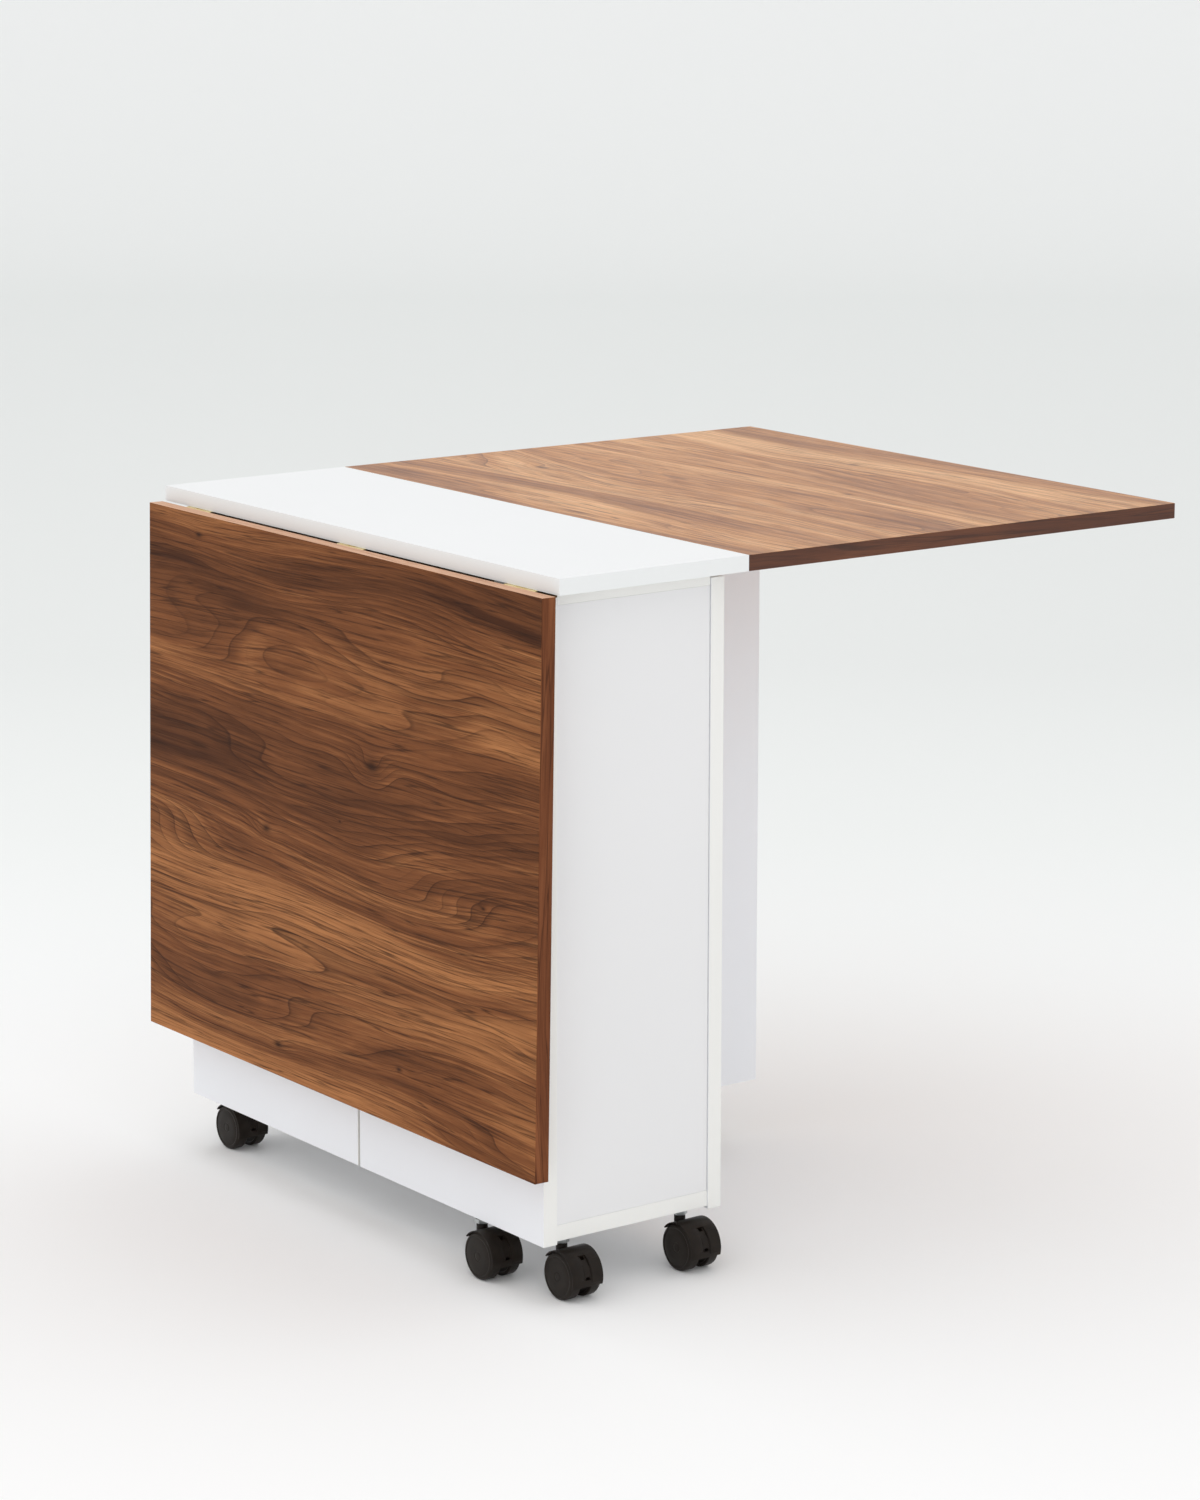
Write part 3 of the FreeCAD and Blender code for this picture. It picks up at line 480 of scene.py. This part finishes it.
def leaves():
    """Both leaves, in a darker copy of one walnut as painted shade and a lighter copy as painted
    light, and the two stop blocks.
    """
    hanging_knots = [(0.075, 0.520, 0.018, 0.026), (-0.130, 0.415, 0.012, 0.014),
                     (0.280, 0.409, 0.005, 0.004), (-0.270, 0.720, 0.009, 0.008),
                     (0.130, 0.205, 0.008, -0.007), (0.015, 0.450, 0.004, 0.003),
                     (-0.105, 0.178, 0.011, 0.010)]
    raised_knots = [(-0.240, 0.020, 0.014, 0.016), (0.120, 0.180, 0.009, 0.008),
                    (-0.050, 0.330, 0.012, 0.012)]
    # The hanging leaf's faces take the darker copy as painted shade, the raised leaf's faces the
    # lighter copy as painted light.
    dress("front_leaf", walnut("walnut_hanging_leaf", ("Z", "Y"), 1.3, hanging_knots,
                               (WALNUT_SHADED, WALNUT_BAND_PAINTED_SHEEN, WALNUT_BAND), 0.05))
    dress("rear_leaf", walnut("walnut_raised_leaf", ("Y", "Z"), 8.2, raised_knots,
                              (WALNUT_LIT, WALNUT_EDGE, WALNUT_EDGE), 0.4))
    # The stop blocks take the darker copy too, as painted shade.
    block = walnut("walnut_block", ("Z", "Y"), 5.4, [], (WALNUT_SHADED,) * 3, 0.3)
    for side in ("front", "rear"):
        break_corners(f"{side}_leaf", BOARD_CORNER)
        dress(f"{side}_leaf_stop_block", block)
        break_corners(f"{side}_leaf_stop_block", BLOCK_CORNER)


leaves()


# ---------------------------------------------------------------------------------------------
# Hinges and gate pivots: butt hinges of rolled brass with three screws in each plate. The gates
# turn on steel pins, the lower ones in cranked steel brackets screwed under the box. A white
# nylon glide on each gate carries the leaf.

CLOUDS_ON_METAL, CLOUDS_ON_PLASTIC = 60.0, 90.0         # to a metre
SCRATCH_SPREAD, GRAIN_SPREAD = 0.08, 0.06               # of the roughness, up and down


def metal(name, light, dark, roughness, scratch):
    """Brushed metal: two tones in small clouds, and scratches finer along one axis."""
    made, shader, add, link = material(name)
    place = add("ShaderNodeTexCoord")
    cloud = add("ShaderNodeTexNoise", {"Vector": place.outputs["Object"], "Scale": CLOUDS_ON_METAL,
                                       "Detail": 5.0})
    link(ramp(add, cloud.outputs["Fac"], [(0.3, dark), (0.7, light)]), shader.inputs["Base Color"])
    brushed = add("ShaderNodeVectorMath", {0: place.outputs["Object"], 1: scratch},
                  operation="MULTIPLY")
    lines = add("ShaderNodeTexNoise", {"Vector": brushed.outputs[0], "Scale": 1.0, "Detail": 3.0})
    rough = add("ShaderNodeMapRange", {"Value": lines.outputs["Fac"],
                                       "To Min": roughness - SCRATCH_SPREAD,
                                       "To Max": roughness + SCRATCH_SPREAD})
    link(rough.outputs[0], shader.inputs["Roughness"])
    bump = add("ShaderNodeBump", {"Height": lines.outputs["Fac"], "Strength": 0.1,
                                  "Distance": 0.0001})
    link(bump.outputs[0], shader.inputs["Normal"])
    shader.inputs["Metallic"].default_value = 1.0
    return made


def plastic(name, light, dark, roughness, grain):
    """Moulded plastic: two tones in small clouds, and the fine grain of the mould."""
    made, shader, add, link = material(name)
    place = add("ShaderNodeTexCoord")
    cloud = add("ShaderNodeTexNoise", {"Vector": place.outputs["Object"], "Scale": CLOUDS_ON_PLASTIC,
                                       "Detail": 4.0})
    link(ramp(add, cloud.outputs["Fac"], [(0.3, dark), (0.7, light)]), shader.inputs["Base Color"])
    spark = add("ShaderNodeTexNoise", {"Vector": place.outputs["Object"], "Scale": grain,
                                       "Detail": 2.0})
    rough = add("ShaderNodeMapRange", {"Value": spark.outputs["Fac"],
                                       "To Min": roughness - GRAIN_SPREAD,
                                       "To Max": roughness + GRAIN_SPREAD})
    link(rough.outputs[0], shader.inputs["Roughness"])
    bump = add("ShaderNodeBump", {"Height": spark.outputs["Fac"], "Strength": 0.2,
                                  "Distance": 0.0002})
    link(bump.outputs[0], shader.inputs["Normal"])
    return made


def sharpen(mesh, degrees):
    """Shades a mesh smooth, but leaves its edges above an angle sharp."""
    work = bmesh.new()
    work.from_mesh(mesh)
    bmesh.ops.recalc_face_normals(work, faces=work.faces)
    for face in work.faces:
        face.smooth = True
    for edge in work.edges:
        edge.smooth = len(edge.link_faces) == 2 and edge.calc_face_angle() < math.radians(degrees)
    work.to_mesh(mesh)
    work.free()


CREASE = 35             # degrees, an edge above this stays sharp


def build(name, points, faces, made, body, replaced=()):
    """Makes a smooth piece of moulded plastic or metal and hangs it on its body."""
    mesh = bpy.data.meshes.new(name)
    mesh.from_pydata(points, [], faces)
    sharpen(mesh, CREASE)
    mesh.materials.append(made)
    piece = bpy.data.objects.new(name, mesh)
    bpy.context.collection.objects.link(piece)
    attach(piece, body)
    if replaced:
        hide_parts(*replaced)
    return piece


SCREW_TURNS = 24
# Rings of a screw head, as shares of its radius and rise: radius, dome and bottom of the recess.
SCREW_RINGS = [(1.0, -0.8, -0.8), (1.0, 0.2, 0.2), (0.9, 0.68, 0.68), (0.72, 0.95, 0.95),
               (0.66, 0.98, 0.2), (0.3, 1.0, 0.15)]
RECESS_BOTTOM = 0.12


def screw_head(points, faces, place, normal, radius, rise):
    """Adds a domed head with a cross recess, seated at a place and facing along the normal."""
    side = normal.orthogonal().normalized()
    other = normal.cross(side)
    quarter = SCREW_TURNS // 4
    first = len(points)
    for share, dome, recess in SCREW_RINGS:
        for turn in range(SCREW_TURNS):
            angle = 2 * math.pi * turn / SCREW_TURNS
            out = side * math.cos(angle) + other * math.sin(angle)
            height = (dome if turn % quarter else recess) * rise
            points.append(place + out * share * radius + normal * height)
    middle = len(points)
    points.append(place + normal * RECESS_BOTTOM * rise)
    for ring in range(len(SCREW_RINGS) - 1):
        for turn in range(SCREW_TURNS):
            after = (turn + 1) % SCREW_TURNS
            low, high = first + ring * SCREW_TURNS, first + (ring + 1) * SCREW_TURNS
            faces.append((low + turn, low + after, high + after, high + turn))
    top = first + (len(SCREW_RINGS) - 1) * SCREW_TURNS
    for turn in range(SCREW_TURNS):
        faces.append((top + turn, top + (turn + 1) % SCREW_TURNS, middle))
    faces.append(tuple(first + turn for turn in reversed(range(SCREW_TURNS))))


def screws(name, node, spots, toward, head, made, body):
    """Screw heads of a (radius, rise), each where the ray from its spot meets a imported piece."""
    mesh = nodes[node].data
    surface = BVHTree.FromPolygons([vertex.co for vertex in mesh.vertices],
                                   [face.vertices for face in mesh.polygons])
    points, faces = [], []
    for spot in spots:
        place = surface.ray_cast(Vector(spot), Vector(toward))[0]
        screw_head(points, faces, place, -Vector(toward), *head)
    build(name, points, faces, made, body)


HINGE_LENGTH = 0.050
COUNTERSUNK_HEAD = (0.0018, 0.0004)     # radius and rise
SCREW_FROM_KNUCKLE = 0.0092             # outer side of the knuckle to the line of screws
SCREW_SPACING = 0.017
AWAY = 0.03                             # off the plates, where the rays to the screws start


def hinge_screws(made):
    """Three screws through each hinge plate."""
    def along(low, high):
        centres = (low.x + HINGE_LENGTH / 2, (low.x + high.x) / 2, high.x - HINGE_LENGTH / 2)
        return [centre + step * SCREW_SPACING for centre in centres for step in (-1, 0, 1)]

    up, back = (0, 0, 1), (0, -1, 0)
    front_low, front_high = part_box("front_hinge_leaf_plates")
    rear_low, rear_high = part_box("rear_hinge_leaf_plates")
    top_low, top_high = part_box("hinge_top_plates")
    front_spots = [(x, front_high.y + AWAY, front_high.z - SCREW_FROM_KNUCKLE)
                   for x in along(front_low, front_high)]
    rear_spots = [(x, rear_low.y + SCREW_FROM_KNUCKLE, rear_low.z - AWAY)
                  for x in along(rear_low, rear_high)]
    for side, spots, toward in (("front", front_spots, back), ("rear", rear_spots, up)):
        screws(f"{side}_leaf_hinge_screws", f"{side}_hinge_leaf_plates", spots, toward,
               COUNTERSUNK_HEAD, made, f"{side}_leaf")
    top_spots = [(x, top_low.y + SCREW_FROM_KNUCKLE, top_low.z - AWAY)
                 for x in along(front_low, front_high)]
    top_spots += [(x, top_high.y - SCREW_FROM_KNUCKLE, top_low.z - AWAY)
                  for x in along(rear_low, rear_high)]
    screws("hinge_top_screws", "hinge_top_plates", top_spots, up, COUNTERSUNK_HEAD, made, "root")


BRACKET_WIDTH = 0.024
BRACKET_SCREWS = (0.008, 0.021)         # from the heel of the bracket's foot
PAN_HEAD = (0.0034, 0.0016)             # radius and rise


def bracket_screws(made):
    """Two pan-head screws hold each pivot bracket to the bottom board."""
    low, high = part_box("gate_pivot_brackets")
    middle = (low.y + high.y) / 2
    places = [vertex.co.y for vertex in nodes["gate_pivot_brackets"].data.vertices]
    front_heel = max(place for place in places if place < middle)
    rear_heel = min(place for place in places if place > middle)
    spots = []
    for inward in BRACKET_SCREWS:
        spots.append((high.x - BRACKET_WIDTH / 2, front_heel - inward, low.z - AWAY))
        spots.append((low.x + BRACKET_WIDTH / 2, rear_heel + inward, low.z - AWAY))
    screws("pivot_bracket_screws", "gate_pivot_brackets", spots, (0, 0, 1), PAN_HEAD, made,
           "root")


GLIDE_CORNER = 0.0012


def hardware():
    """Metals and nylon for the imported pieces, and the screws."""
    brass = metal("rolled_brass", shade(240, 224, 172), shade(216, 192, 130), 0.28,
                  (40, 900, 900))
    steel = metal("plated_steel", shade(190, 190, 192), shade(160, 160, 163), 0.35,
                  (900, 900, 60))
    nylon = plastic("white_nylon", shade(236, 236, 230), shade(228, 228, 222), 0.4, 700)
    for node in ("hinge_top_plates", "front_hinge_leaf_plates", "rear_hinge_leaf_plates",
                 "hinge_pins"):
        dress(node, brass)
    for node in ("front_gate_pivot_pins", "rear_gate_pivot_pins", "gate_pivot_brackets"):
        dress(node, steel)
    for side in ("front", "rear"):
        dress(f"{side}_gate_glide", nylon)
        break_corners(f"{side}_gate_glide", GLIDE_CORNER, 3)
    hinge_screws(brass)
    bracket_screws(steel)


hardware()


# ---------------------------------------------------------------------------------------------
# Casters: four under the box and one under each gate. A caster has a hood and two wheels of
# brown-black moulded plastic on a steel axle, and a brake rocker in a slot of the hood. It turns
# on a zinc stem, whose hexagon collar shows above the neck, in a socket pressed into the board.

CASTERS = ["front_left", "front_right", "rear_left", "rear_right", "front_gate", "rear_gate"]
WHEEL_RADIUS = 25.0     # millimetres, as all the sizes of the wheel
WHEEL_WIDTH = 13.0
SHOULDER = 3.4          # radius of the wheel's outer edge
WHEEL_TURNS = 96


def wheel_section():
    """Half section of a wheel: distance from its inner face, and radius."""
    inner = [(3.0, 3.05), (0.6, 3.05), (0.0, 3.6), (0.0, 7.0), (1.2, 8.4), (1.2, 20.6),
             (0.0, 21.8), (0.0, 24.3), (0.7, WHEEL_RADIUS)]
    shoulder = []
    for step in range(7):
        turn = math.radians(15 * step)
        shoulder.append((WHEEL_WIDTH - SHOULDER * (1 - math.sin(turn)),
                         WHEEL_RADIUS - SHOULDER * (1 - math.cos(turn))))
    face = [(12.85, 20.9), (12.5, 20.5), (12.5, 20.0), (12.75, 19.5), (12.9, 12.0), (12.9, 5.6),
            (12.6, 5.2), (12.6, 4.7), (12.85, 4.3), (12.9, 2.0)]
    return inner + shoulder + face


def turned(section, turns, start, outward):
    """Rings and faces of a section (along, radius) turned about Y, from a point on the axis."""
    points, faces = [], []
    for along, radius in section:
        for turn in range(turns):
            angle = 2 * math.pi * turn / turns
            points.append((start.x + radius * math.cos(angle), start.y + outward * along,
                           start.z + radius * math.sin(angle)))
    for ring in range(len(section) - 1):
        for turn in range(turns):
            after = (turn + 1) % turns
            faces.append((ring * turns + turn, ring * turns + after,
                          (ring + 1) * turns + after, (ring + 1) * turns + turn))
    last = (len(section) - 1) * turns
    faces.append(tuple(range(last, last + turns)))
    faces.append(tuple(range(turns)))
    return points, faces


def wheels(name, made):
    """A caster's two wheels, mirrored about its middle, each between hub and rounded shoulder."""
    low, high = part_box(f"{name}_caster_wheels")
    middle = (low + high) / 2
    points, faces = [], []
    for side in (-1, 1):
        inner = middle.copy()
        inner.y = (high.y if side > 0 else low.y) - side * WHEEL_WIDTH / 1000
        section = [(along / 1000, radius / 1000) for along, radius in wheel_section()]
        more, sides = turned(section, WHEEL_TURNS, inner, side)
        faces += [tuple(index + len(points) for index in face) for face in sides]
        points += more
    build(f"{name}_caster_wheel_pair", points, faces, made, f"{name}_caster_wheels",
          [f"{name}_caster_wheels"])


def curved_plate(axle, cells, radius_at, inner_radius):
    """A plate about the axle, thick from the inner radius out to radius_at(angle, across).

    Cells are pairs of ranges, an angle from level in degrees and a place across in millimetres,
    whose edges meet, so that the plate can have notches.
    """
    corners, points, faces = {}, [], []

    def corner(angle, across, outside):
        key = (angle, across, outside)
        if key not in corners:
            radius = radius_at(angle, across) if outside else inner_radius
            turn = math.radians(angle)
            corners[key] = len(points)
            points.append((axle.x + radius * math.cos(turn) / 1000, axle.y + across / 1000,
                           axle.z + radius * math.sin(turn) / 1000))
        return corners[key]

    edges = {}
    for low, high, left, right in cells:
        ring = [(low, left), (low, right), (high, right), (high, left)]
        faces.append([corner(*place, True) for place in ring])
        faces.append([corner(*place, False) for place in reversed(ring)])
        for first, second in zip(ring, ring[1:] + ring[:1]):
            edges[(first, second)] = edges.get((first, second), 0) + 1
    for first, second in edges:
        if (second, first) not in edges:
            faces.append([corner(*first, True), corner(*first, False), corner(*second, False),
                          corner(*second, True)])
    return points, faces


ROCKER_INSIDE = 22.0    # millimetres from the axle, as all the radii of the hood
HOOD_RADIUS = 27.0
COVER_RISE = 0.45
ROCKER_BELOW = 0.05     # the rocker's lower half lies this far below the hood's round
SINK = 0.9              # and its upper half this much deeper
SINK_FROM, SINK_OVER = 24, 12           # degrees from level
LOWER_HOLE_END, UPPER_HOLE_START = 6.0, 47.0    # degrees from level
LEFT_FLANK = -3.0       # left of this place across, the rocker is sunk less
FLANK_SINK = 0.6        # as a share
ROCKER_EDGE = 0.00025   # metres
HOOD_EDGE = 0.0003


def rocker(name, axle, made):
    """Brake rocker, sunk towards its upper end, with two prongs beside a hole at each end."""
    across = (-4.0, -2.4, 2.4, 4.0)
    turns = (0.2, 3.1, LOWER_HOLE_END, 11.2, 16.4, 21.6, 26.5, 31.6, 36.7, 41.8,
             UPPER_HOLE_START, 51.4, 55.8)
    cells = []
    for low, high in zip(turns, turns[1:]):
        for left, right in zip(across, across[1:]):
            if left > 0 or right < 0 or LOWER_HOLE_END <= low < UPPER_HOLE_START:
                cells.append((low, high, left, right))

    def radius_at(angle, place):
        sunk = SINK * max(0.0, min(1.0, (angle - SINK_FROM) / SINK_OVER))
        return HOOD_RADIUS - ROCKER_BELOW - sunk * (1.0 if place > LEFT_FLANK else FLANK_SINK)

    points, faces = curved_plate(axle, cells, radius_at, ROCKER_INSIDE)
    piece = build(f"{name}_caster_brake_rocker", points, faces, made, f"{name}_caster_brake",
                  [f"{name}_caster_brake"])
    round_edges(piece, ROCKER_EDGE)


COVER_ACROSS = (5.2, 18.6)
COVER_DEPTH = 0.3       # how far its sides reach into the hood


def cover(name, axle, made):
    """Raised field on the right half of the hood, beside the slot of the rocker."""
    turns = [-9 + 5 * step for step in range(12)]
    cells = [(low, high, *COVER_ACROSS) for low, high in zip(turns, turns[1:])]
    points, faces = curved_plate(axle, cells, lambda angle, place: HOOD_RADIUS + COVER_RISE,
                                 HOOD_RADIUS - COVER_DEPTH)
    piece = build(f"{name}_caster_cover", points, faces, made, f"{name}_caster_swivel")
    round_edges(piece, HOOD_EDGE)


PLASTIC_SHEEN = 0.16


def casters():
    """All six casters with their stems and sockets."""
    zinc = metal("zinc_plate", shade(196, 200, 200), shade(170, 175, 176), 0.3, (700, 700, 90))
    hood = plastic("hood_plastic", shade(33, 26, 20), shade(26, 20, 16), 0.42, 1200)
    wheel = plastic("wheel_plastic", shade(37, 31, 26), shade(31, 26, 22), 0.46, 1400)
    for made in (hood, wheel):
        sheen = made.node_tree.nodes["Principled BSDF"].inputs["Specular IOR Level"]
        sheen.default_value = PLASTIC_SHEEN
    steel = bpy.data.materials["plated_steel"]
    for owner in ("box", "front_gate", "rear_gate"):
        dress(f"{owner}_caster_stems", zinc)
        dress(f"{owner}_caster_sockets", hood)
    for name in CASTERS:
        dress(f"{name}_caster_housing", hood)
        break_corners(f"{name}_caster_housing", HOOD_EDGE)
        dress(f"{name}_caster_axle", steel)
        wheels(name, wheel)
        low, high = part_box(f"{name}_caster_wheels")
        rocker(name, (low + high) / 2, hood)
        cover(name, (low + high) / 2, hood)


casters()
